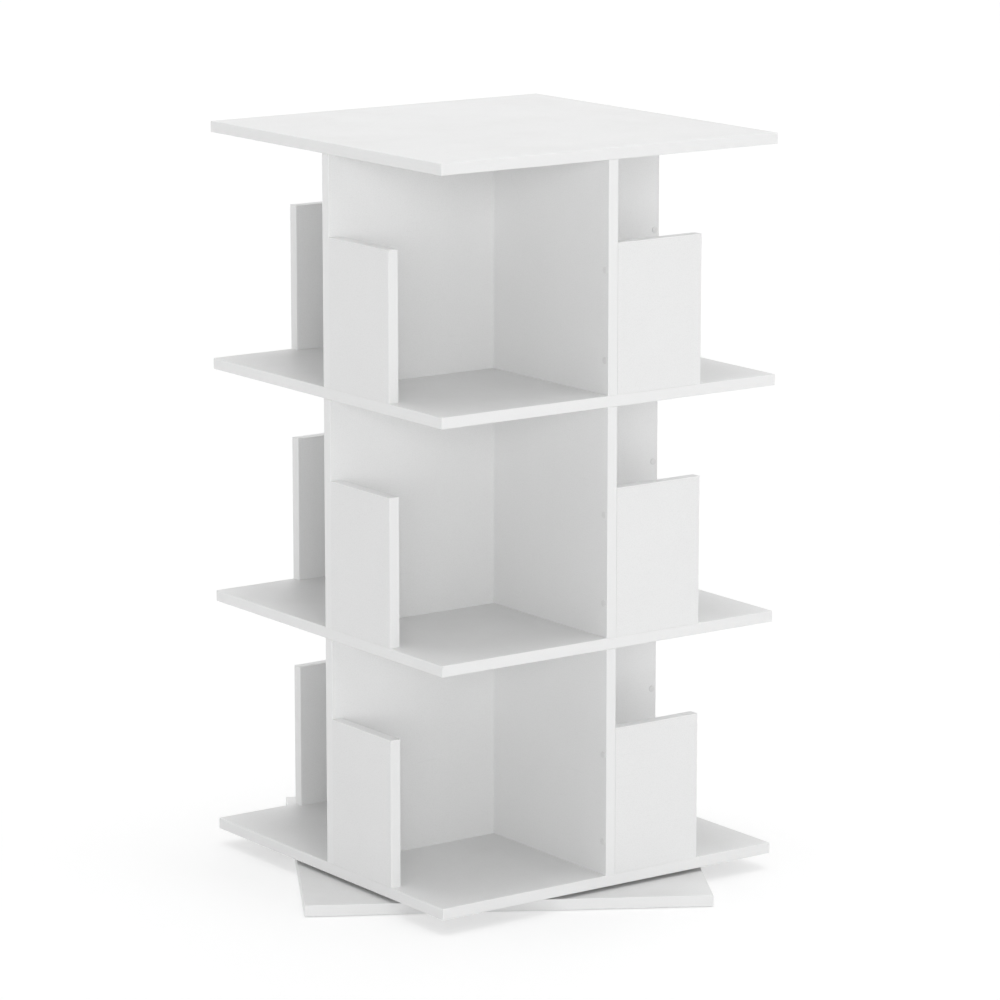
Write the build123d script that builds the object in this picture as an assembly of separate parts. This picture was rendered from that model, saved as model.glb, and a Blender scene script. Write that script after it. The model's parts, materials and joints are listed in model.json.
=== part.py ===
from build123d import *
import os

# A revolving file shelf: a square column of boards and dividers that turns on a flat base board.
# Sizes are millimetres and degrees. The origin is on the floor on the turning axis, with +Z up.
# The column stands square to X and Y with its front on the -Y side, and the base is turned under it.

# Square boards and the upright panels between them, all cut from one board stock
BOARD_SIDE = 640.0
BOARD_THICKNESS = 18.0
CLEAR_HEIGHT = 364.0
EDGING_THICKNESS = 2.0
EDGING_ROUND = 1.0

# Low stops, one on each side of every tier
STOP_LENGTH = 162.0
STOP_HEIGHT = 236.0

# Screws that hold each stop to the end of its divider, measured up from the shelf and down from the top
STOP_SCREW_RISE = 54.0
STOP_SCREW_DROP = 42.0
STOP_SCREW_HEAD = 10.0
STOP_SCREW_SHANK = 7.0
STOP_SCREW_LENGTH = 50.0
STOP_SCREW_SOCKET = 4.0
STOP_SCREW_SOCKET_DEPTH = 3.0

# Push-in caps over those screw heads
CAP_OVERLAP = 0.3
CAP_THICKNESS = 1.0
CAP_ROUND = 0.6
CAP_STEM_GAP = 0.1
CAP_STEM_ROOM = 0.6

# Wooden dowels: the shorter end sits in a board's face, the longer end in a panel's edge
DOWEL_DIAMETER = 8.0
DOWEL_LENGTH = 30.0
DOWEL_FACE_DEPTH = 11.0
DOWEL_CHAMFER = 1.0
DOWEL_GLUE_GAP = 0.05
DOWEL_SETBACK = 60.0
DOWEL_STAGGER = 30.0
STOP_DOWEL_SETBACK = 40.0
THROUGH_DIVIDER_DOWELS = 4
HALF_DIVIDER_DOWELS = 2
CROSS_DOWELS = 3
STOP_DOWELS = 2

# Turntable bearing: two flat rings with facing ball races
BALL_DIAMETER = 4.0
BALL_COUNT = 40
BALL_RUNNING_GAP = 0.05
BALL_PITCH_RADIUS = 200.0
RACE_LIP = 0.7
RING_WIDTH = 18.0
RING_RUNNING_GAP = 0.6
CAGE_THICKNESS = 0.8
CAGE_RUNNING_GAP = 0.4
CAGE_BALL_GAP = 0.08
CAGE_RIM = 0.4

# Screws of the two rings
RING_SCREW_COUNT = 8
INNER_SCREW_HEAD = 8.0
INNER_SCREW_SHANK = 4.0
INNER_SCREW_GRIP = 11.0
OUTER_SCREW_HEAD = 10.0
OUTER_SCREW_SHANK = 5.0
OUTER_SCREW_TOP_ROOM = 1.0
RING_SCREW_SOCKET = 3.0
RING_SCREW_SOCKET_DEPTH = 1.6

# Screw ends and fastener holes
SCREW_END_CHAMFER = 1.0
SCREW_HOLE_GAP = 0.05
BLIND_HOLE_ROOM = 0.5

# Base board: its turn under the column, and its floor glides
BASE_TURN = -30.5
GLIDE_DIAMETER = 24.0
GLIDE_THICKNESS = 1.5
GLIDE_ROUND = 0.5
GLIDE_PIN_DIAMETER = 3.0
GLIDE_PIN_LENGTH = 9.0
GLIDE_PIN_GAP = 0.05
GLIDE_SETBACK = 40.0
GLIDES_PER_SIDE = 3

# Heights and places that follow from the sizes above
TIERS = ("lower", "middle", "upper")
BOARDS = ("bottom_board", "lower_shelf", "upper_shelf", "top_board")
half_side = BOARD_SIDE / 2
half_thickness = BOARD_THICKNESS / 2
edging_round = min(EDGING_ROUND, 0.9 * EDGING_THICKNESS)
core_half_side = half_side - EDGING_THICKNESS
ring_height = BALL_DIAMETER + 2 * RACE_LIP
turntable_gap = ring_height + RING_RUNNING_GAP
race_gap = CAGE_THICKNESS / 2 + CAGE_RUNNING_GAP
base_top = GLIDE_THICKNESS + BOARD_THICKNESS
column_bottom = base_top + turntable_gap
tier_pitch = CLEAR_HEIGHT + BOARD_THICKNESS
stop_screw_heights = (STOP_SCREW_RISE, STOP_HEIGHT - STOP_SCREW_DROP)

nodes = {}


def block(x_span, y_span, z_span):
    """Box between two corners, given as a low and a high value along each axis."""
    spans = (x_span, y_span, z_span)
    lengths = [high - low for low, high in spans]
    return Pos(*[low for low, high in spans]) * Box(*lengths, align=(Align.MIN,) * 3)


def spread(low, high, count):
    """Evenly spaced values from low to high, both included."""
    step = (high - low) / max(count - 1, 1)
    return [low + step * index for index in range(count)]


def post(radius, height):
    """Upright cylinder that stands on the plane z = 0."""
    return Cylinder(radius, height, align=(Align.CENTER, Align.CENTER, Align.MIN))


def board_core(z):
    """Square board without its edging, with its underside at height z."""
    span = (-core_half_side, core_half_side)
    return block(span, span, (z, z + BOARD_THICKNESS))


def board_edging(z):
    """Four strips round a square board: front and rear run the full side, the others fit between."""
    across = (core_half_side, half_side)
    heights = (z, z + BOARD_THICKNESS)
    long_strip = block(across, (-half_side, half_side), heights)
    glued_edges = long_strip.faces().sort_by(Axis.X)[0].edges()
    long_strip = fillet(long_strip.edges() - glued_edges, edging_round)
    short_strip = block(across, (-core_half_side, core_half_side), heights)
    short_strip = fillet(short_strip.edges().filter_by(Axis.Y).group_by(Axis.X)[-1], edging_round)
    strips = (short_strip, long_strip, short_strip, long_strip)
    return [Rot(0, 0, 90 * quarter) * strip for quarter, strip in enumerate(strips)]


def divider_edging():
    """Strip on a divider's outer edge, glued at x = 0 and rounded on its two outer corners."""
    strip = block((0, EDGING_THICKNESS), (-half_thickness, half_thickness), (0, CLEAR_HEIGHT))
    outer_corners = strip.edges().filter_by(Axis.Z).group_by(Axis.X)[-1]
    return fillet(outer_corners, edging_round)


def stop_core():
    """Stop without edging: x runs from its divider to its free end, y from its outer to its inner face."""
    length = STOP_LENGTH - EDGING_THICKNESS
    height = STOP_HEIGHT - EDGING_THICKNESS
    return block((0, length), (0, BOARD_THICKNESS), (0, height))


def stop_edging():
    """Strips on a stop's top edge and free end, in the same place as its core."""
    core_length = STOP_LENGTH - EDGING_THICKNESS
    core_height = STOP_HEIGHT - EDGING_THICKNESS
    across = (0, BOARD_THICKNESS)
    top_strip = block((0, STOP_LENGTH), across, (core_height, STOP_HEIGHT))
    top_edges = top_strip.edges().group_by(Axis.Z)[-1].sort_by(Axis.X)[1:]
    corner_edges = top_strip.edges().filter_by(Axis.Z).group_by(Axis.X)[-1]
    end_strip = block((core_length, STOP_LENGTH), across, (0, core_height))
    end_edges = end_strip.edges().filter_by(Axis.Z).group_by(Axis.X)[-1]
    return [fillet(top_edges + corner_edges, edging_round), fillet(end_edges, edging_round)]


def countersunk_screw(head, shank, length, socket, socket_depth):
    """Screw along +X with its flat head face at x = 0, a hexagon socket and a blunt end."""
    radius = shank / 2
    outline = Polyline(
        (0, 0),
        (0, head / 2),
        (head / 2 - radius, radius),
        (length - SCREW_END_CHAMFER, radius),
        (length, radius - SCREW_END_CHAMFER),
        (length, 0),
        close=True,
    )
    body = revolve(make_face(outline), Axis.X)
    return body - extrude(Plane.YZ * RegularPolygon(socket / 2, 6, major_radius=False), socket_depth)


def countersunk_hole(head, shank, length):
    """Hole for a countersunk screw along +X, with room round the shank and past its end."""
    bore = shank / 2 + SCREW_HOLE_GAP
    depth = length + BLIND_HOLE_ROOM
    outline = Polyline(
        (0, 0), (0, head / 2), (head / 2 - bore, bore), (depth, bore), (depth, 0), close=True
    )
    return revolve(make_face(outline), Axis.X)


def screw_cap():
    """Cap over a stop screw: a rounded disc on the face at x = 0 and a stem into the screw's socket."""
    disc = Rot(0, -90, 0) * post(STOP_SCREW_HEAD / 2 + CAP_OVERLAP, CAP_THICKNESS)
    disc = fillet(disc.edges().group_by(Axis.X)[0], min(CAP_ROUND, 0.9 * CAP_THICKNESS))
    stem_radius = STOP_SCREW_SOCKET / 2 - CAP_STEM_GAP
    stem_length = STOP_SCREW_SOCKET_DEPTH - CAP_STEM_ROOM
    return disc + Rot(0, 90, 0) * post(stem_radius, stem_length)


def dowel():
    """Dowel through the plane z = 0, with its board end below and its panel end above."""
    pin = post(DOWEL_DIAMETER / 2, DOWEL_LENGTH)
    pin = chamfer(pin.edges().filter_by(GeomType.CIRCLE), DOWEL_CHAMFER)
    return Pos(0, 0, -DOWEL_FACE_DEPTH) * pin


def dowel_hole():
    """Hole for a dowel, with glue room round it and past both ends."""
    radius = DOWEL_DIAMETER / 2 + DOWEL_GLUE_GAP
    depth = DOWEL_LENGTH + 2 * BLIND_HOLE_ROOM
    return Pos(0, 0, -DOWEL_FACE_DEPTH - BLIND_HOLE_ROOM) * post(radius, depth)


def race_ring(inner_radius, bottom):
    """Flat bearing ring with the ball race cut into the side that faces the balls."""
    section_centre = Pos(inner_radius + RING_WIDTH / 2, bottom + ring_height / 2)
    race_centre = Pos(BALL_PITCH_RADIUS, base_top + turntable_gap / 2)
    section = section_centre * Rectangle(RING_WIDTH, ring_height)
    race = race_centre * Circle(BALL_DIAMETER / 2 + BALL_RUNNING_GAP)
    return revolve(Plane.XZ * (section - race), Axis.Z)


def ball_places():
    """Places of the balls, each with its X axis pointing away from the turning axis."""
    ball_height = Pos(0, 0, base_top + turntable_gap / 2)
    return [ball_height * place for place in PolarLocations(BALL_PITCH_RADIUS, BALL_COUNT)]


def ball_cage():
    """Thin upright band between the rings, with a hole for each ball."""
    hole_radius = BALL_DIAMETER / 2 + CAGE_BALL_GAP
    height = 2 * (hole_radius + CAGE_RIM)
    outside = Cylinder(BALL_PITCH_RADIUS + CAGE_THICKNESS / 2, height)
    inside = Cylinder(BALL_PITCH_RADIUS - CAGE_THICKNESS / 2, height)
    band = Pos(0, 0, base_top + turntable_gap / 2) * (outside - inside)
    hole = Rot(0, 90, 0) * Cylinder(hole_radius, 4 * CAGE_THICKNESS)
    return band - [place * hole for place in ball_places()]


def ring_screw_places(radius, height):
    """Places of a ring's screws, with their X axes pointing up and a half step clear of the X axis."""
    half_step = 180 / RING_SCREW_COUNT
    places = PolarLocations(radius, RING_SCREW_COUNT, start_angle=half_step)
    return [Pos(0, 0, height) * place * Rot(0, -90, 0) for place in places]


def glide():
    """Floor glide: a disc that stands on the floor and a pin up into the base board."""
    disc = post(GLIDE_DIAMETER / 2, GLIDE_THICKNESS)
    disc = fillet(disc.edges().group_by(Axis.Z)[0], min(GLIDE_ROUND, 0.9 * GLIDE_THICKNESS))
    return disc + glide_pin(GLIDE_PIN_DIAMETER / 2, GLIDE_PIN_LENGTH)


def glide_pin(radius, length):
    """Upright pin, or its hole, standing on a glide's disc."""
    return Pos(0, 0, GLIDE_THICKNESS) * post(radius, length)


# Places of the stops: x of each place runs along its stop, away from the divider that carries it
stop_places = {
    "front": Location((half_thickness, -half_side, 0), (0, 0, 0)),
    "right": Location((half_side, 0, 0), (0, 0, 90)),
    "rear": Location((-half_thickness, half_side, 0), (0, 0, 180)),
    "left": Location((-half_side, -BOARD_THICKNESS, 0), (0, 0, 270)),
}

# Stop screws start on the far face of the divider, in the middle of the stop's thickness
stop_screw_places = {
    side: [place * Pos(-BOARD_THICKNESS, half_thickness, height) for height in stop_screw_heights]
    for side, place in stop_places.items()
}

# Dowels between panels and the board under them, and the same rows shifted for the board above
through_row = spread(-half_side + DOWEL_SETBACK, half_side - DOWEL_SETBACK, THROUGH_DIVIDER_DOWELS)
front_row = spread(-half_side + DOWEL_SETBACK, -BOARD_THICKNESS - DOWEL_SETBACK, HALF_DIVIDER_DOWELS)
rear_row = spread(DOWEL_SETBACK, half_side - DOWEL_SETBACK, HALF_DIVIDER_DOWELS)
stop_row = spread(STOP_DOWEL_SETBACK, STOP_LENGTH - STOP_DOWEL_SETBACK, STOP_DOWELS)
divider_points = [(x, -half_thickness) for x in through_row]
divider_points += [(0, y) for y in front_row + rear_row]
stagger = [(DOWEL_STAGGER, 0)] * THROUGH_DIVIDER_DOWELS + [(0, DOWEL_STAGGER)] * 2 * HALF_DIVIDER_DOWELS
lower_places = [Pos(x, y, 0) for x, y in divider_points]
for place in stop_places.values():
    lower_places += [place * Pos(along, half_thickness, 0) for along in stop_row]
upper_places = [
    Pos(x + shift_x, y + shift_y, CLEAR_HEIGHT) * Rot(180, 0, 0)
    for (x, y), (shift_x, shift_y) in zip(divider_points, stagger)
]

# Dowels that join the half dividers to the through divider, the rear ones higher than the front ones
cross_row = spread(DOWEL_SETBACK, CLEAR_HEIGHT - DOWEL_SETBACK - DOWEL_STAGGER, CROSS_DOWELS)
cross_places = [Pos(0, -BOARD_THICKNESS, z) * Rot(90, 0, 0) for z in cross_row]
cross_places += [Pos(0, 0, z + DOWEL_STAGGER) * Rot(-90, 0, 0) for z in cross_row]
tier_dowel_places = lower_places + upper_places + cross_places

# One tier, standing on the plane z = 0
dowel_cutter = dowel_hole()
tier_dowel_holes = [place * dowel_cutter for place in tier_dowel_places]
stop_screw_cutter = countersunk_hole(STOP_SCREW_HEAD, STOP_SCREW_SHANK, STOP_SCREW_LENGTH)
stop_screw_holes = [place * stop_screw_cutter for places in stop_screw_places.values() for place in places]
tier_holes = tier_dowel_holes + stop_screw_holes

across_half = (-half_thickness, half_thickness)
upright = (0, CLEAR_HEIGHT)
tier_panels = {
    "through_divider": block((-core_half_side, core_half_side), (-BOARD_THICKNESS, 0), upright),
    "front_divider": block(across_half, (-core_half_side, -BOARD_THICKNESS), upright),
    "rear_divider": block(across_half, (0, core_half_side), upright),
}
for side, place in stop_places.items():
    tier_panels[side + "_stop"] = place * stop_core()
tier_panels = {name: panel - tier_holes for name, panel in tier_panels.items()}

strip = divider_edging()
tier_divider_edging = [
    Location((core_half_side, -half_thickness, 0), (0, 0, 0)) * strip,
    Location((0, core_half_side, 0), (0, 0, 90)) * strip,
    Location((-core_half_side, -half_thickness, 0), (0, 0, 180)) * strip,
    Location((0, -core_half_side, 0), (0, 0, 270)) * strip,
]
tier_stop_edging = [place * edge for place in stop_places.values() for edge in stop_edging()]

# The three tiers of the column, each on its own board
stop_screw = countersunk_screw(
    STOP_SCREW_HEAD, STOP_SCREW_SHANK, STOP_SCREW_LENGTH, STOP_SCREW_SOCKET, STOP_SCREW_SOCKET_DEPTH
)
wooden_dowel = dowel()
cap = screw_cap()
nodes["dowels"] = []
nodes["stop_screws"] = []
nodes["screw_caps"] = []
tier_floors = [column_bottom + BOARD_THICKNESS + level * tier_pitch for level in range(len(TIERS))]
for tier, floor in zip(TIERS, tier_floors):
    lift = Pos(0, 0, floor)
    for name, panel in tier_panels.items():
        nodes[f"{tier}_{name}"] = [lift * panel]
    nodes[f"{tier}_divider_edging"] = [lift * edge for edge in tier_divider_edging]
    nodes[f"{tier}_stop_edging"] = [lift * edge for edge in tier_stop_edging]
    nodes["dowels"] += [lift * place * wooden_dowel for place in tier_dowel_places]
    for places in stop_screw_places.values():
        nodes["stop_screws"] += [lift * place * stop_screw for place in places]
        nodes["screw_caps"] += [lift * place * cap for place in places]

# Turntable rings and their screws: the inner ring carries the column, the outer ring is on the base
inner_ring_radius = BALL_PITCH_RADIUS - race_gap - RING_WIDTH
outer_ring_radius = BALL_PITCH_RADIUS + race_gap
inner_ring_bottom = base_top + RING_RUNNING_GAP
inner_screw_length = ring_height + INNER_SCREW_GRIP
outer_screw_length = BOARD_THICKNESS + ring_height - OUTER_SCREW_TOP_ROOM
inner_screw_places = ring_screw_places(inner_ring_radius + RING_WIDTH / 2, inner_ring_bottom)
outer_screw_places = ring_screw_places(outer_ring_radius + RING_WIDTH / 2, GLIDE_THICKNESS)
inner_cutter = countersunk_hole(INNER_SCREW_HEAD, INNER_SCREW_SHANK, inner_screw_length)
outer_cutter = countersunk_hole(OUTER_SCREW_HEAD, OUTER_SCREW_SHANK, outer_screw_length)
inner_screw_holes = [place * inner_cutter for place in inner_screw_places]
outer_screw_holes = [place * outer_cutter for place in outer_screw_places]
inner_screw = countersunk_screw(
    INNER_SCREW_HEAD, INNER_SCREW_SHANK, inner_screw_length, RING_SCREW_SOCKET, RING_SCREW_SOCKET_DEPTH
)
outer_screw = countersunk_screw(
    OUTER_SCREW_HEAD, OUTER_SCREW_SHANK, outer_screw_length, RING_SCREW_SOCKET, RING_SCREW_SOCKET_DEPTH
)
nodes["turntable_inner_ring"] = [race_ring(inner_ring_radius, inner_ring_bottom) - inner_screw_holes]
nodes["inner_ring_screws"] = [place * inner_screw for place in inner_screw_places]
nodes["bearing_balls"] = [place * Sphere(BALL_DIAMETER / 2) for place in ball_places()]
nodes["ball_cage"] = [ball_cage()]

# The column's boards, drilled for the tier above, the tier below and the inner ring
for level, name in enumerate(BOARDS):
    board_bottom = column_bottom + level * tier_pitch
    holes = []
    if name == BOARDS[0]:
        holes += inner_screw_holes
    else:
        tier_below = Pos(0, 0, tier_floors[level - 1])
        holes += [tier_below * place * dowel_cutter for place in upper_places]
    if name != BOARDS[-1]:
        tier_above = Pos(0, 0, tier_floors[level])
        holes += [tier_above * place * dowel_cutter for place in lower_places]
    nodes[name] = [board_core(board_bottom) - holes]
    nodes[name + "_edging"] = board_edging(board_bottom)

# The base: a board of the same size on glides, with the outer ring screwed on from below
glide_reach = half_side - GLIDE_SETBACK
glide_row = spread(-glide_reach, glide_reach, GLIDES_PER_SIDE)
glide_places = [Pos(x, y, 0) for x in glide_row for y in glide_row]
glide_cutter = glide_pin(GLIDE_PIN_DIAMETER / 2 + GLIDE_PIN_GAP, GLIDE_PIN_LENGTH + BLIND_HOLE_ROOM)
base_holes = outer_screw_holes + [place * glide_cutter for place in glide_places]
base_parts = {
    "base_board": [board_core(GLIDE_THICKNESS) - base_holes],
    "base_board_edging": board_edging(GLIDE_THICKNESS),
    "base_glides": [place * glide() for place in glide_places],
    "turntable_outer_ring": [race_ring(outer_ring_radius, base_top) - outer_screw_holes],
    "outer_ring_screws": [place * outer_screw for place in outer_screw_places],
}
base_turn = Rot(0, 0, BASE_TURN)
for name, shapes in base_parts.items():
    nodes[name] = [base_turn * shape for shape in shapes]

os.makedirs("parts", exist_ok=True)
for name, shapes in nodes.items():
    solids = [solid for shape in shapes for solid in shape.solids()]
    export_step(Compound(children=solids), f"parts/{name}.step")
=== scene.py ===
# Looks of the revolving file shelf: its finishes, the moulded screw caps, the studio and the camera.
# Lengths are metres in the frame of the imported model, unless a comment says millimetres.
import json
import math

import bmesh
import bpy
from mathutils import Matrix, Vector


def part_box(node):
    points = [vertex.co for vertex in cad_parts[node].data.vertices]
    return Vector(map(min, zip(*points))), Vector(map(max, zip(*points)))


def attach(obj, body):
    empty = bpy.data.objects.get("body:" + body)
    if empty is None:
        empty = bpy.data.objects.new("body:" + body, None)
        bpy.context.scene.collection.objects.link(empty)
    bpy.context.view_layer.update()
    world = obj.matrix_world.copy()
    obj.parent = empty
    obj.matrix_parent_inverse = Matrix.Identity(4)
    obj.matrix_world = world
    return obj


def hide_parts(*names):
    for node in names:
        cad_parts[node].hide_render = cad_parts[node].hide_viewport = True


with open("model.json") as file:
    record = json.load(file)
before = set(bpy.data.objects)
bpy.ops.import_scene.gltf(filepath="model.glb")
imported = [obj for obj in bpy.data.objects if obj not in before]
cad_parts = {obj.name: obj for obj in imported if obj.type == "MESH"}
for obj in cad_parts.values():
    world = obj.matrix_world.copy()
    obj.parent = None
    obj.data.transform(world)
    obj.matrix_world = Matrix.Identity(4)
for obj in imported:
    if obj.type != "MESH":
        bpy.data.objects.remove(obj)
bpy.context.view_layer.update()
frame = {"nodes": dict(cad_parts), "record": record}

MM = 0.001
WHITE = (1.0, 1.0, 1.0, 1.0)

# Camera: where it stands, the point it looks at, its lens and sensor in millimetres, and how far it sees.
CAMERA_PLACE = (-4.22266, -5.91670, 2.09441)
CAMERA_AIM = (0.0109, -0.0078, 0.5898)
CAMERA_LENS = 167.195
SENSOR_WIDTH = 36.0
CAMERA_REACH = 200.0

# Studio light. A brightness is what the light gives a white surface square to it, a spread is in degrees.
# The side lights stand round the shelf, each so many degrees to the right of its front and a little over
# level. They show in no gloss, so that they put no glare on the boards. The backdrop shows at its own
# brightness, where 1 is white.
SKY_BRIGHTNESS = 0.28
BACKDROP_BRIGHTNESS = 1.0
FROM_ABOVE = (0.0, 0.0, 1.0)
FROM_ABOVE_RIGHT = (0.15, 0.0, 1.0)
OVERHEAD_LIGHTS = (
    {"name": "ceiling_light", "towards": FROM_ABOVE_RIGHT, "brightness": 0.38, "spread": 90},
    {"name": "lamp_above", "towards": FROM_ABOVE, "brightness": 0.17, "spread": 24},
)
SIDE_LIGHTS = (
    {"name": "camera_light", "angle": -35, "brightness": 0.53},
    {"name": "front_right_light", "angle": 30, "brightness": 0.23},
    {"name": "left_light", "angle": -75, "brightness": 0.08},
    {"name": "rear_left_light", "angle": -143, "brightness": 0.14},
    {"name": "rear_right_light", "angle": 135, "brightness": 0.42},
)
SIDE_LIGHT_RISE = 0.03
SIDE_LIGHT_SPREAD = 36

# Floor: a wide pale disc. The camera sees a part of its light and shade, lifted so that the lit floor is
# as white as the backdrop.
FLOOR_RADIUS = 40.0
FLOOR_SEGMENTS = 96
FLOOR_COLOUR = (0.86, 0.86, 0.86, 1.0)
FLOOR_SEEN_COLOUR = (0.50, 0.50, 0.50, 1.0)
FLOOR_LIFT = 0.555

# Sizes of the shelf that the finishes follow.
BASE_TURN = math.radians(-30.5)
BOARD_CORE_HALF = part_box("bottom_board")[1].x
BOTTOM_BOARD_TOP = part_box("bottom_board")[1].z
TIER_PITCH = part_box("lower_shelf")[1].z - BOTTOM_BOARD_TOP
STOP_CORE_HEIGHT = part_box("lower_front_stop")[1].z - BOTTOM_BOARD_TOP

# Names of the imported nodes, or the words that they are made up of.
TIERS = ("lower", "middle", "upper")
DIVIDERS = ("through", "front", "rear")
STOPS = ("front", "right", "rear", "left")
BOARDS = ("bottom_board", "lower_shelf", "upper_shelf", "top_board")

# Colours: the record's, with the three whites taken to a plain neutral.
COLOURS = {material["slot"]: (*material["base_color"], 1.0) for material in frame["record"]["materials"]}
COLOURS["white_board"] = (0.838, 0.840, 0.839, 1.0)
COLOURS["white_edging"] = (0.846, 0.848, 0.847, 1.0)
COLOURS["cap_plastic"] = (0.770, 0.770, 0.768, 1.0)
GLUE_COLOUR = (0.46, 0.45, 0.43, 1.0)
DUST_COLOUR = (0.62, 0.61, 0.59, 1.0)
RUBBED_COLOUR = (0.70, 0.70, 0.70, 1.0)
GREASE_COLOUR = (0.52, 0.52, 0.50, 1.0)
CLOUDY_ZINC_COLOUR = (0.66, 0.65, 0.58, 1.0)
DARK_GRAIN_COLOUR = (0.56, 0.38, 0.24, 1.0)
WOOD_FLECK_COLOUR = (0.30, 0.17, 0.09, 1.0)

# Skins of the pressed and moulded surfaces. The grain scale is in pebbles to the metre.
SKINS = {
    "white_board": {
        "Tone drift": 0.018,
        "Grain scale": 850.0,
        "Grain shade": 0.05,
        "Mean roughness": 0.42,
        "Roughness drift": 0.12,
    },
    "white_edging": {
        "Tone drift": 0.012,
        "Grain scale": 1600.0,
        "Grain shade": 0.03,
        "Mean roughness": 0.34,
        "Roughness drift": 0.10,
    },
    "cap_plastic": {
        "Tone drift": 0.05,
        "Grain scale": 2400.0,
        "Grain shade": 0.03,
        "Mean roughness": 0.38,
        "Roughness drift": 0.15,
    },
    "glide_plastic": {
        "Tone drift": 0.05,
        "Grain scale": 1500.0,
        "Grain shade": 0.03,
        "Mean roughness": 0.50,
        "Roughness drift": 0.15,
    },
    "cage_plastic": {
        "Tone drift": 0.05,
        "Grain scale": 1800.0,
        "Grain shade": 0.03,
        "Mean roughness": 0.45,
        "Roughness drift": 0.15,
    },
}

# How much the boards mirror, where 0.5 is plain plastic.
BOARD_SPECULAR = 0.4

# Noise of the skins, the wear and the metals. A scale is in patches to the metre. Noise runs from 0 to 1
# round a mean of a half, and a patch fades in between its low level and its high one.
NOISE_MEAN = 0.5
TONE_CLOUDS = {"scale": 5.0, "detail": 3.0, "roughness": 0.55, "low": 0.30, "high": 0.75}
GLOSS_PATCHES = {"scale": 22.0, "detail": 4.0, "roughness": 0.6}
GRAIN_PITS = {"detail": 3.0, "roughness": 0.6}
GRAIN_SHADING = {"low": 0.10, "high": 0.45}
RUB_THREADS = {"detail": 3.0, "roughness": 0.65, "low": 0.64, "high": 0.70}
RUB_PATCHES = {"scale": 7.0, "low": 0.52, "high": 0.68}
DUST_CLOUDS = {"scale": 9.0, "detail": 5.0, "roughness": 0.6, "low": 0.35, "high": 0.75}
DUST_SPECKS = {"scale": 1400.0, "detail": 1.0, "low": 0.62, "high": 0.80}
LINE_NOISE = {"detail": 4.0, "roughness": 0.6}
GREASE_NOISE = {"scale": 600.0, "detail": 3.0}
ZINC_NOISE = {"scale": 260.0, "detail": 4.0, "roughness": 0.65}

# Lines in a surface: how many to the metre along x, y and z, so few along a line and many across it. The
# turning marks are counted along the radius in place of x.
RUB_DIRECTIONS = ((14.0, 420.0, 300.0), (380.0, 11.0, 260.0))
LEVEL_STRIP_LINES = (6.0, 6.0, 5200.0)
UPRIGHT_STRIP_LINES = (5200.0, 5200.0, 6.0)
TURNING_MARKS = (4200.0, 1.0, 4200.0)
SCREW_LINES = (2500.0, 2500.0, 300.0)
BEECH_GRAIN = (900.0, 900.0, 40.0)
BEECH_FLECKS = (2600.0, 2600.0, 420.0)

# Levels of a noise, and the colour share or roughness that they are taken over to.
GREASE_LEVELS = {"low": 0.40, "high": 0.70}
ZINC_CLOUD_LEVELS = {"low": 0.30, "high": 0.70}
BEECH_GRAIN_LEVELS = {"low": 0.30, "high": 0.70}
BEECH_FLECK_LEVELS = {"low": 0.60, "high": 0.70}
FLECK_STRENGTH = 0.5
RING_ROUGHNESS = {"low": 0.30, "high": 0.70, "to_low": 0.26, "to_high": 0.44}
BALL_ROUGHNESS = {"low": 0.35, "high": 0.75, "to_low": 0.07, "to_high": 0.22}
ZINC_ROUGHNESS = {"low": 0.30, "high": 0.75, "to_low": 0.24, "to_high": 0.42}
BEECH_ROUGHNESS = {"low": 0.20, "high": 0.80, "to_low": 0.55, "to_high": 0.75}

# Wear, dust and glue: how strongly each shows, and what it adds to the roughness. Dust fades in between two
# slopes, given as the upward part of the face's normal.
BOARD_RUBBING = 0.22
EDGING_RUBBING = 0.18
PLASTIC_RUBBING = 0.30
RUB_ROUGHENING = 0.30
EDGING_RUB_ROUGHENING = 0.35
COLUMN_DUST = 0.10
BASE_DUST = 0.16
RING_DUST = 0.25
DUST_ROUGHENING = 0.5
DUST_SLOPES = {"low": 0.70, "high": 0.98}
SPECK_SHARE = 0.5
GLUE_LINE_WIDTH = 0.25 * MM
GLUE_LINE_STRENGTH = 0.7

# Relief of the finishes: how deep each is, and how far the shading follows it.
RELIEF_STRENGTH = 0.5
BOARD_RELIEF = 0.15 * MM
EDGING_RELIEF = 0.02 * MM
EDGING_GRAIN_SHARE = 0.3
PLASTIC_RELIEF = 0.02 * MM
RING_RELIEF = 0.02 * MM
BALL_RELIEF = 0.003 * MM
ZINC_RELIEF = 0.02 * MM
BEECH_RELIEF = 0.05 * MM

# The colour sockets of Blender's Mix node, which has a set of sockets for each kind of value.
MIX_SHARE = 0
MIX_FIRST = 6
MIX_SECOND = 7
MIX_RESULT = 2


def place_object(name, data):
    """A new object in the scene, with the given mesh, lamp or lens."""
    new_object = bpy.data.objects.new(name, data)
    bpy.context.scene.collection.objects.link(new_object)
    return new_object


# Helpers for node trees. A value is a number or colour, or the socket that feeds the input.
def feed(tree, socket, value):
    if isinstance(value, bpy.types.NodeSocket):
        tree.links.new(value, socket)
    else:
        socket.default_value = value


def add_node(tree, kind, inputs=None, **settings):
    node = tree.nodes.new("ShaderNode" + kind)
    for name, value in settings.items():
        setattr(node, name, value)
    for key, value in (inputs or {}).items():
        feed(tree, node.inputs[key], value)
    return node


def add_math(tree, operation, *values):
    node = add_node(tree, "Math", dict(enumerate(values)), operation=operation)
    return node.outputs[0]


def add_range(tree, value, low, high, to_low=0.0, to_high=1.0):
    """Takes low to high over to to_low to to_high, smoothly, and holds the ends."""
    inputs = {"Value": value, "From Min": low, "From Max": high, "To Min": to_low, "To Max": to_high}
    return add_node(tree, "MapRange", inputs, interpolation_type="SMOOTHSTEP").outputs[0]


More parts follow.
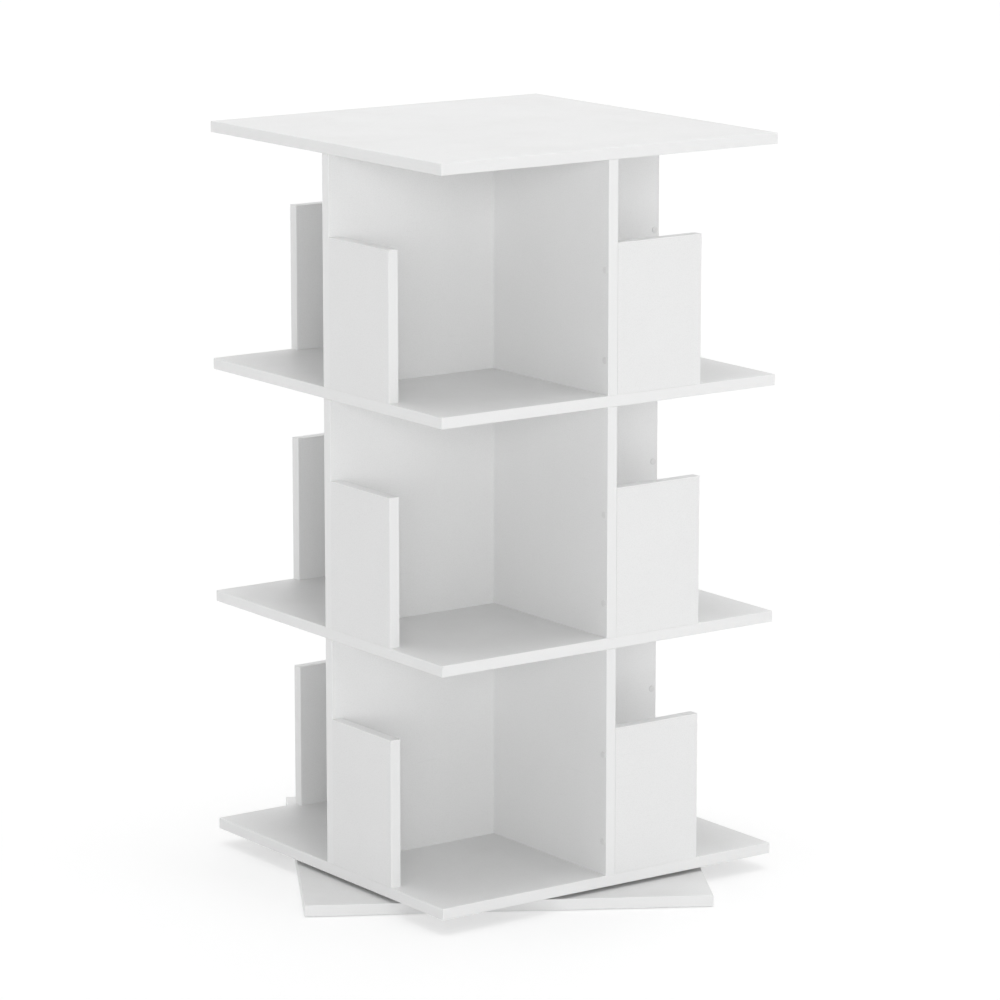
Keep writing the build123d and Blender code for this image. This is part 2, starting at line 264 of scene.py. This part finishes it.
def add_blend(tree, share, first, second):
    """The first colour, with a share of the second in its place."""
    inputs = {MIX_SHARE: share, MIX_FIRST: first, MIX_SECOND: second}
    return add_node(tree, "Mix", inputs, data_type="RGBA").outputs[MIX_RESULT]


def add_noise(tree, place, scale=1.0, detail=2.0, roughness=0.5):
    inputs = {"Vector": place, "Scale": scale, "Detail": detail, "Roughness": roughness}
    return add_node(tree, "TexNoise", inputs).outputs["Fac"]


def add_patches(tree, place, low, high, **noise):
    """Noise as patches that fade in between two of its levels."""
    return add_range(tree, add_noise(tree, place, **noise), low, high)


def add_place(tree):
    """The point on the piece, in metres, which moves with the piece."""
    return add_node(tree, "TexCoord").outputs["Object"]


def add_stretch(tree, place, stretch):
    return add_node(tree, "VectorMath", {0: place, 1: stretch}, operation="MULTIPLY").outputs[0]


def add_split(tree, vector):
    return add_node(tree, "SeparateXYZ", {0: vector}).outputs


def add_group(tree, group, inputs):
    """Puts a shared effect into a tree with its own values, and gives its outputs."""
    return add_node(tree, "Group", inputs, node_tree=group).outputs


def start_group(name, inputs, outputs):
    """A new shared effect: its tree, the values it is given, and the sockets it has to feed."""
    tree = bpy.data.node_groups.new(name, "ShaderNodeTree")
    for in_out, sockets in (("INPUT", inputs), ("OUTPUT", outputs)):
        for socket_name, kind in sockets.items():
            tree.interface.new_socket(socket_name, in_out=in_out, socket_type="NodeSocket" + kind)
    given = tree.nodes.new("NodeGroupInput").outputs
    wanted = tree.nodes.new("NodeGroupOutput").inputs
    return tree, given, wanted


# Shared effects.
def make_satin_skin():
    """A pressed or moulded skin: slow drift of tone and gloss, and a fine pebbled grain."""
    tree, given, wanted = start_group(
        "satin_skin",
        {
            "Tone": "Color",
            "Tone drift": "Float",
            "Grain scale": "Float",
            "Grain shade": "Float",
            "Mean roughness": "Float",
            "Roughness drift": "Float",
        },
        {"Colour": "Color", "Roughness": "Float", "Height": "Float"},
    )
    place = add_place(tree)
    cells = {"Vector": place, "Scale": given["Grain scale"]}
    pebbles = add_node(tree, "TexVoronoi", cells).outputs["Distance"]
    pits = add_noise(tree, place, given["Grain scale"], **GRAIN_PITS)
    grain = add_math(tree, "MULTIPLY", pebbles, pits)
    clouds = add_patches(tree, place, **TONE_CLOUDS)
    drift = add_math(tree, "MULTIPLY", clouds, given["Tone drift"])
    shade = add_math(tree, "MULTIPLY", add_range(tree, grain, **GRAIN_SHADING), given["Grain shade"])
    kept = add_math(tree, "SUBTRACT", add_math(tree, "SUBTRACT", 1.0, drift), shade)
    colour = add_node(tree, "VectorMath", {0: given["Tone"], "Scale": kept}, operation="SCALE").outputs[0]
    patches = add_math(tree, "SUBTRACT", add_noise(tree, place, **GLOSS_PATCHES), NOISE_MEAN)
    roughness = add_math(tree, "MULTIPLY_ADD", patches, given["Roughness drift"], given["Mean roughness"])
    feed(tree, wanted["Colour"], colour)
    feed(tree, wanted["Roughness"], roughness)
    feed(tree, wanted["Height"], grain)
    return tree


def make_rub_marks():
    """Hairline rubbing marks in two directions, only inside a few broad patches."""
    tree, given, wanted = start_group("rub_marks", {"Amount": "Float"}, {"Mask": "Float"})
    place = add_place(tree)
    lines = [
        add_patches(tree, add_stretch(tree, place, direction), **RUB_THREADS) for direction in RUB_DIRECTIONS
    ]
    patches = add_patches(tree, place, **RUB_PATCHES)
    marks = add_math(tree, "MULTIPLY", add_math(tree, "MAXIMUM", *lines), patches)
    feed(tree, wanted["Mask"], add_math(tree, "MULTIPLY", marks, given["Amount"]))
    return tree


def make_settled_dust():
    """Fine dust and specks that lie only on faces that look up."""
    tree, given, wanted = start_group("settled_dust", {"Amount": "Float"}, {"Mask": "Float"})
    place = add_place(tree)
    facing = add_split(tree, add_node(tree, "NewGeometry").outputs["Normal"])["Z"]
    upward = add_range(tree, facing, **DUST_SLOPES)
    clouds = add_patches(tree, place, **DUST_CLOUDS)
    specks = add_patches(tree, place, **DUST_SPECKS)
    lying = add_math(tree, "MULTIPLY", add_math(tree, "MULTIPLY_ADD", specks, SPECK_SHARE, clouds), upward)
    feed(tree, wanted["Mask"], add_math(tree, "MULTIPLY", lying, given["Amount"]))
    return tree


def make_glue_line():
    """The hairline where a face meets its edging strip, at one value of a distance."""
    tree, given, wanted = start_group(
        "glue_line",
        {"Distance": "Float", "Line at": "Float", "Width": "Float"},
        {"Mask": "Float"},
    )
    off = add_math(tree, "ABSOLUTE", add_math(tree, "SUBTRACT", given["Distance"], given["Line at"]))
    feed(tree, wanted["Mask"], add_range(tree, off, 0.0, given["Width"], to_low=1.0, to_high=0.0))
    return tree


def make_drawn_lines():
    """Lines along a drawn, turned or grown surface. The stretch is large across them and small along them."""
    tree, given, wanted = start_group(
        "drawn_lines",
        {"Place": "Vector", "Stretch": "Vector"},
        {"Height": "Float"},
    )
    stretched = add_stretch(tree, given["Place"], given["Stretch"])
    feed(tree, wanted["Height"], add_noise(tree, stretched, **LINE_NOISE))
    return tree


satin_skin = make_satin_skin()
rub_marks = make_rub_marks()
settled_dust = make_settled_dust()
glue_line = make_glue_line()
drawn_lines = make_drawn_lines()


# Finishes.
def start_material(name):
    material = bpy.data.materials.new(name)
    material.use_nodes = True
    tree = material.node_tree
    shader = next(node for node in tree.nodes if node.type == "BSDF_PRINCIPLED")
    return material, tree, shader


def dress(tree, shader, colour, roughness, height, depth):
    """Feeds the shader its colour, roughness and a relief that is so many metres deep."""
    relief = add_node(tree, "Bump", {"Height": height, "Strength": RELIEF_STRENGTH, "Distance": depth})
    feed(tree, shader.inputs["Base Color"], colour)
    feed(tree, shader.inputs["Roughness"], roughness)
    feed(tree, shader.inputs["Normal"], relief.outputs["Normal"])


def distance_from_middle(tree, turn):
    """How far a point is from the middle, square to the nearer pair of sides of a board turned that much."""
    inputs = {"Vector": add_place(tree), "Angle": -turn}
    straight = add_split(tree, add_node(tree, "VectorRotate", inputs, rotation_type="Z_AXIS").outputs[0])
    across = add_math(tree, "ABSOLUTE", straight["X"])
    along = add_math(tree, "ABSOLUTE", straight["Y"])
    return add_math(tree, "MAXIMUM", across, along)


def column_distance(tree):
    return distance_from_middle(tree, 0.0)


def base_distance(tree):
    return distance_from_middle(tree, BASE_TURN)


def height_in_tier(tree):
    """How far a point is above the board that its tier stands on."""
    height = add_split(tree, add_place(tree))["Z"]
    return add_math(tree, "MODULO", add_math(tree, "SUBTRACT", height, BOTTOM_BOARD_TOP), TIER_PITCH)


def make_board(name, line_distance, line_at, dust):
    """White melamine-faced board with the glue line of its edging where line_distance is line_at."""
    material, tree, shader = start_material(name)
    skin = add_group(tree, satin_skin, {"Tone": COLOURS["white_board"], **SKINS["white_board"]})
    rubbed = add_group(tree, rub_marks, {"Amount": BOARD_RUBBING})["Mask"]
    dusty = add_group(tree, settled_dust, {"Amount": dust})["Mask"]
    line_inputs = {"Distance": line_distance(tree), "Line at": line_at, "Width": GLUE_LINE_WIDTH}
    line = add_group(tree, glue_line, line_inputs)["Mask"]
    colour = add_blend(tree, rubbed, skin["Colour"], RUBBED_COLOUR)
    colour = add_blend(tree, dusty, colour, DUST_COLOUR)
    colour = add_blend(tree, add_math(tree, "MULTIPLY", line, GLUE_LINE_STRENGTH), colour, GLUE_COLOUR)
    roughness = add_math(tree, "MULTIPLY_ADD", dusty, DUST_ROUGHENING, skin["Roughness"])
    roughness = add_math(tree, "MULTIPLY_ADD", rubbed, RUB_ROUGHENING, roughness)
    dress(tree, shader, colour, roughness, skin["Height"], BOARD_RELIEF)
    shader.inputs["Specular IOR Level"].default_value = BOARD_SPECULAR
    return material


def make_edging(name, strip_lines):
    """White plastic edging with fine lines along the strip."""
    material, tree, shader = start_material(name)
    skin = add_group(tree, satin_skin, {"Tone": COLOURS["white_edging"], **SKINS["white_edging"]})
    rubbed = add_group(tree, rub_marks, {"Amount": EDGING_RUBBING})["Mask"]
    lines = add_group(tree, drawn_lines, {"Place": add_place(tree), "Stretch": strip_lines})["Height"]
    colour = add_blend(tree, rubbed, skin["Colour"], RUBBED_COLOUR)
    roughness = add_math(tree, "MULTIPLY_ADD", rubbed, EDGING_RUB_ROUGHENING, skin["Roughness"])
    height = add_math(tree, "MULTIPLY_ADD", skin["Height"], EDGING_GRAIN_SHARE, lines)
    dress(tree, shader, colour, roughness, height, EDGING_RELIEF)
    return material


def make_plastic(slot):
    """Moulded plastic of the caps, glides and ball cage."""
    material, tree, shader = start_material(slot)
    skin = add_group(tree, satin_skin, {"Tone": COLOURS[slot], **SKINS[slot]})
    rubbed = add_group(tree, rub_marks, {"Amount": PLASTIC_RUBBING})["Mask"]
    roughness = add_math(tree, "MULTIPLY_ADD", rubbed, RUB_ROUGHENING, skin["Roughness"])
    dress(tree, shader, skin["Colour"], roughness, skin["Height"], PLASTIC_RELIEF)
    return material


def make_turned_aluminium():
    """Rolled aluminium with turning marks that circle the axis of the bearing."""
    material, tree, shader = start_material("ring_aluminium")
    spot = add_split(tree, add_place(tree))
    level = add_node(tree, "CombineXYZ", {"X": spot["X"], "Y": spot["Y"]}).outputs[0]
    radius = add_node(tree, "VectorMath", {0: level}, operation="LENGTH").outputs["Value"]
    section = add_node(tree, "CombineXYZ", {"X": radius, "Z": spot["Z"]}).outputs[0]
    marks = add_group(tree, drawn_lines, {"Place": section, "Stretch": TURNING_MARKS})["Height"]
    dusty = add_group(tree, settled_dust, {"Amount": RING_DUST})["Mask"]
    colour = add_blend(tree, dusty, COLOURS["ring_aluminium"], DUST_COLOUR)
    roughness = add_range(tree, marks, **RING_ROUGHNESS)
    dress(tree, shader, colour, roughness, marks, RING_RELIEF)
    shader.inputs["Metallic"].default_value = 1.0
    return material


def make_ball_steel():
    """Polished steel under a thin uneven film of grease."""
    material, tree, shader = start_material("ball_steel")
    film = add_noise(tree, add_place(tree), **GREASE_NOISE)
    greasy = add_range(tree, film, **GREASE_LEVELS)
    colour = add_blend(tree, greasy, COLOURS["ball_steel"], GREASE_COLOUR)
    roughness = add_range(tree, film, **BALL_ROUGHNESS)
    dress(tree, shader, colour, roughness, film, BALL_RELIEF)
    shader.inputs["Metallic"].default_value = 1.0
    return material


def make_zinc_steel():
    """Cold-headed screws under a clear, slightly cloudy zinc plating."""
    material, tree, shader = start_material("zinc_steel")
    place = add_place(tree)
    cloud = add_noise(tree, place, **ZINC_NOISE)
    lines = add_group(tree, drawn_lines, {"Place": place, "Stretch": SCREW_LINES})["Height"]
    cloudy = add_range(tree, cloud, **ZINC_CLOUD_LEVELS)
    colour = add_blend(tree, cloudy, COLOURS["zinc_steel"], CLOUDY_ZINC_COLOUR)
    roughness = add_range(tree, cloud, **ZINC_ROUGHNESS)
    dress(tree, shader, colour, roughness, lines, ZINC_RELIEF)
    shader.inputs["Metallic"].default_value = 1.0
    return material


def make_beech():
    """Raw beech: long fine grain with short dark flecks."""
    material, tree, shader = start_material("beech")
    place = add_place(tree)
    grain = add_group(tree, drawn_lines, {"Place": place, "Stretch": BEECH_GRAIN})["Height"]
    flecks = add_patches(tree, add_stretch(tree, place, BEECH_FLECKS), **BEECH_FLECK_LEVELS)
    dark = add_range(tree, grain, **BEECH_GRAIN_LEVELS)
    colour = add_blend(tree, dark, COLOURS["beech"], DARK_GRAIN_COLOUR)
    colour = add_blend(tree, add_math(tree, "MULTIPLY", flecks, FLECK_STRENGTH), colour, WOOD_FLECK_COLOUR)
    roughness = add_range(tree, grain, **BEECH_ROUGHNESS)
    dress(tree, shader, colour, roughness, grain, BEECH_RELIEF)
    return material


def finish_nodes(material, *names):
    """Gives CAD nodes their finish, on the object, so that the mesh stays as packed."""
    for name in names:
        for slot in frame["nodes"][name].material_slots:
            slot.link = "OBJECT"
            slot.material = material


board_white = make_board("board_white", column_distance, BOARD_CORE_HALF, COLUMN_DUST)
base_white = make_board("base_white", base_distance, BOARD_CORE_HALF, BASE_DUST)
stop_white = make_board("stop_white", height_in_tier, STOP_CORE_HEIGHT, COLUMN_DUST)
level_edging = make_edging("level_edging", LEVEL_STRIP_LINES)
upright_edging = make_edging("upright_edging", UPRIGHT_STRIP_LINES)
cap_plastic = make_plastic("cap_plastic")

finish_nodes(board_white, *BOARDS)
finish_nodes(base_white, "base_board")
finish_nodes(level_edging, "base_board_edging", *(board + "_edging" for board in BOARDS))
for tier in TIERS:
    finish_nodes(board_white, *(f"{tier}_{divider}_divider" for divider in DIVIDERS))
    finish_nodes(stop_white, *(f"{tier}_{stop}_stop" for stop in STOPS))
    finish_nodes(upright_edging, f"{tier}_divider_edging", f"{tier}_stop_edging")
finish_nodes(make_plastic("glide_plastic"), "base_glides")
finish_nodes(make_plastic("cage_plastic"), "ball_cage")
finish_nodes(make_turned_aluminium(), "turntable_outer_ring", "turntable_inner_ring")
finish_nodes(make_ball_steel(), "bearing_balls")
finish_nodes(make_zinc_steel(), "outer_ring_screws", "inner_ring_screws", "stop_screws")
finish_nodes(make_beech(), "dowels")


# Moulded screw caps, with sizes in millimetres. The profile is (radius, height) over the face that the cap
# lies on: a rounded rim, a flat crown with one shallow ring, and the small pit left by the moulding gate.
CAP_HEIGHT = 1.0
CAP_PROFILE = (
    (5.30, 0.00),
    (5.30, 0.40),
    (5.22, 0.70),
    (5.00, 0.92),
    (4.70, CAP_HEIGHT),
    (3.90, CAP_HEIGHT),
    (3.72, 0.88),
    (3.48, 0.88),
    (3.30, CAP_HEIGHT),
    (0.62, CAP_HEIGHT),
    (0.48, 0.86),
)
CAP_STEM_RADIUS = 1.8
WELD_DISTANCE = 0.001
CAP_SEGMENTS = 48
CAP_SHARP_ANGLE = math.radians(50)

# The rim of a cap is what lies further from its middle than this share of its width.
CAP_RIM_SHARE = 0.4


def separate_solids(node_name):
    """The corner points of each separate solid of a CAD node."""
    sheet = bmesh.new()
    sheet.from_mesh(frame["nodes"][node_name].data)
    bmesh.ops.remove_doubles(sheet, verts=sheet.verts, dist=WELD_DISTANCE * MM)
    met = set()
    solids = []
    for first in sheet.verts:
        if first in met:
            continue
        met.add(first)
        waiting = [first]
        points = []
        while waiting:
            vert = waiting.pop()
            points.append(vert.co.copy())
            for edge in vert.link_edges:
                other = edge.other_vert(vert)
                if other not in met:
                    met.add(other)
                    waiting.append(other)
        solids.append(points)
    sheet.free()
    return solids


def cap_seat(points):
    """Where a cap sits: the middle of its seat, the way it faces, and how far its stem reaches in."""
    low = Vector(min(point[axis] for point in points) for axis in range(3))
    high = Vector(max(point[axis] for point in points) for axis in range(3))
    size = high - low
    middle = (low + high) / 2
    along = min(range(3), key=lambda axis: size[axis])
    rim = [point[along] for point in points if (point - middle).length > CAP_RIM_SHARE * max(size)]
    faces_plus = sum(rim) / len(rim) > middle[along]
    outward = Vector((0.0, 0.0, 0.0))
    outward[along] = 1.0 if faces_plus else -1.0
    seat = middle.copy()
    seat[along] = high[along] - CAP_HEIGHT * MM if faces_plus else low[along] + CAP_HEIGHT * MM
    return seat, outward, size[along] - CAP_HEIGHT * MM


def turn_cap(sheet, seat, outward, stem):
    """Turns the cap's profile about its axis into a closed shape in the sheet."""
    profile = [(CAP_STEM_RADIUS * MM, -stem), (CAP_STEM_RADIUS * MM, 0.0)]
    profile += [(radius * MM, height * MM) for radius, height in CAP_PROFILE]
    stand = Matrix.Translation(seat) @ outward.to_track_quat("Z", "Y").to_matrix().to_4x4()
    rings = []
    for radius, height in profile:
        ring = []
        for step in range(CAP_SEGMENTS):
            angle = 2 * math.pi * step / CAP_SEGMENTS
            spot = Vector((radius * math.cos(angle), radius * math.sin(angle), height))
            ring.append(sheet.verts.new(stand @ spot))
        rings.append(ring)
    for lower, upper in zip(rings, rings[1:]):
        for step in range(CAP_SEGMENTS):
            after = (step + 1) % CAP_SEGMENTS
            sheet.faces.new((lower[step], lower[after], upper[after], upper[step]))
    sheet.faces.new(reversed(rings[0]))
    sheet.faces.new(rings[-1])


def make_screw_caps():
    sheet = bmesh.new()
    for points in separate_solids("screw_caps"):
        turn_cap(sheet, *cap_seat(points))
    for face in sheet.faces:
        face.smooth = True
    mesh = bpy.data.meshes.new("moulded_screw_caps")
    sheet.to_mesh(mesh)
    sheet.free()
    mesh.set_sharp_from_angle(angle=CAP_SHARP_ANGLE)
    mesh.materials.append(cap_plastic)
    caps = place_object("moulded_screw_caps", mesh)
    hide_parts("screw_caps")
    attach(caps, "column")


make_screw_caps()


# Studio: floor, sky, suns and camera.
def add_backdrop_share(tree):
    """One for rays that see the backdrop itself, in the picture or mirrored in metal."""
    rays = add_node(tree, "LightPath").outputs
    seen = add_math(tree, "MAXIMUM", rays["Is Camera Ray"], rays["Is Glossy Ray"])
    return add_math(tree, "MAXIMUM", seen, rays["Is Transmission Ray"])


def start_bare_tree(owner):
    """The emptied node tree of a material or world."""
    owner.use_nodes = True
    owner.node_tree.nodes.clear()
    return owner.node_tree


def make_floor_paint():
    material = bpy.data.materials.new("floor_paint")
    tree = start_bare_tree(material)
    seen = add_backdrop_share(tree)
    paint = add_node(tree, "BsdfDiffuse", {"Color": add_blend(tree, seen, FLOOR_COLOUR, FLOOR_SEEN_COLOUR)})
    lift = add_math(tree, "MULTIPLY", seen, FLOOR_LIFT)
    glow = add_node(tree, "Emission", {"Color": WHITE, "Strength": lift})
    both = add_node(tree, "AddShader", {0: paint.outputs[0], 1: glow.outputs[0]})
    add_node(tree, "OutputMaterial", {"Surface": both.outputs[0]})
    return material


def make_floor():
    sheet = bmesh.new()
    bmesh.ops.create_circle(sheet, cap_ends=True, segments=FLOOR_SEGMENTS, radius=FLOOR_RADIUS)
    mesh = bpy.data.meshes.new("floor")
    sheet.to_mesh(mesh)
    sheet.free()
    mesh.materials.append(make_floor_paint())
    floor = place_object("floor", mesh)


def make_sky():
    world = bpy.data.worlds.new("studio")
    bpy.context.scene.world = world
    tree = start_bare_tree(world)
    light = add_node(tree, "Background", {"Color": WHITE, "Strength": SKY_BRIGHTNESS})
    backdrop = add_node(tree, "Background", {"Color": WHITE, "Strength": BACKDROP_BRIGHTNESS})
    shaders = {0: add_backdrop_share(tree), 1: light.outputs[0], 2: backdrop.outputs[0]}
    both = add_node(tree, "MixShader", shaders)
    add_node(tree, "OutputWorld", {"Surface": both.outputs[0]})


def make_sun(name, towards, brightness, spread, in_gloss=True):
    lamp = bpy.data.lights.new(name, "SUN")
    lamp.energy = brightness * math.pi
    lamp.angle = math.radians(spread)
    sun = place_object(name, lamp)
    sun.rotation_euler = Vector(towards).to_track_quat("Z", "Y").to_euler()
    sun.visible_glossy = in_gloss


def make_side_light(name, angle, brightness):
    turn = math.radians(angle)
    towards = (math.sin(turn), -math.cos(turn), SIDE_LIGHT_RISE)
    make_sun(name, towards, brightness, SIDE_LIGHT_SPREAD, in_gloss=False)


def make_camera():
    lens = bpy.data.cameras.new("camera")
    lens.sensor_fit = "HORIZONTAL"
    lens.sensor_width = SENSOR_WIDTH
    lens.lens = CAMERA_LENS
    lens.clip_end = CAMERA_REACH
    camera = place_object("camera", lens)
    camera.location = CAMERA_PLACE
    look = Vector(CAMERA_AIM) - Vector(CAMERA_PLACE)
    camera.rotation_euler = look.to_track_quat("-Z", "Y").to_euler()
    bpy.context.scene.camera = camera


make_floor()
make_sky()
for light in OVERHEAD_LIGHTS:
    make_sun(**light)
for light in SIDE_LIGHTS:
    make_side_light(**light)
make_camera()
bpy.context.scene.view_settings.view_transform = "Standard"
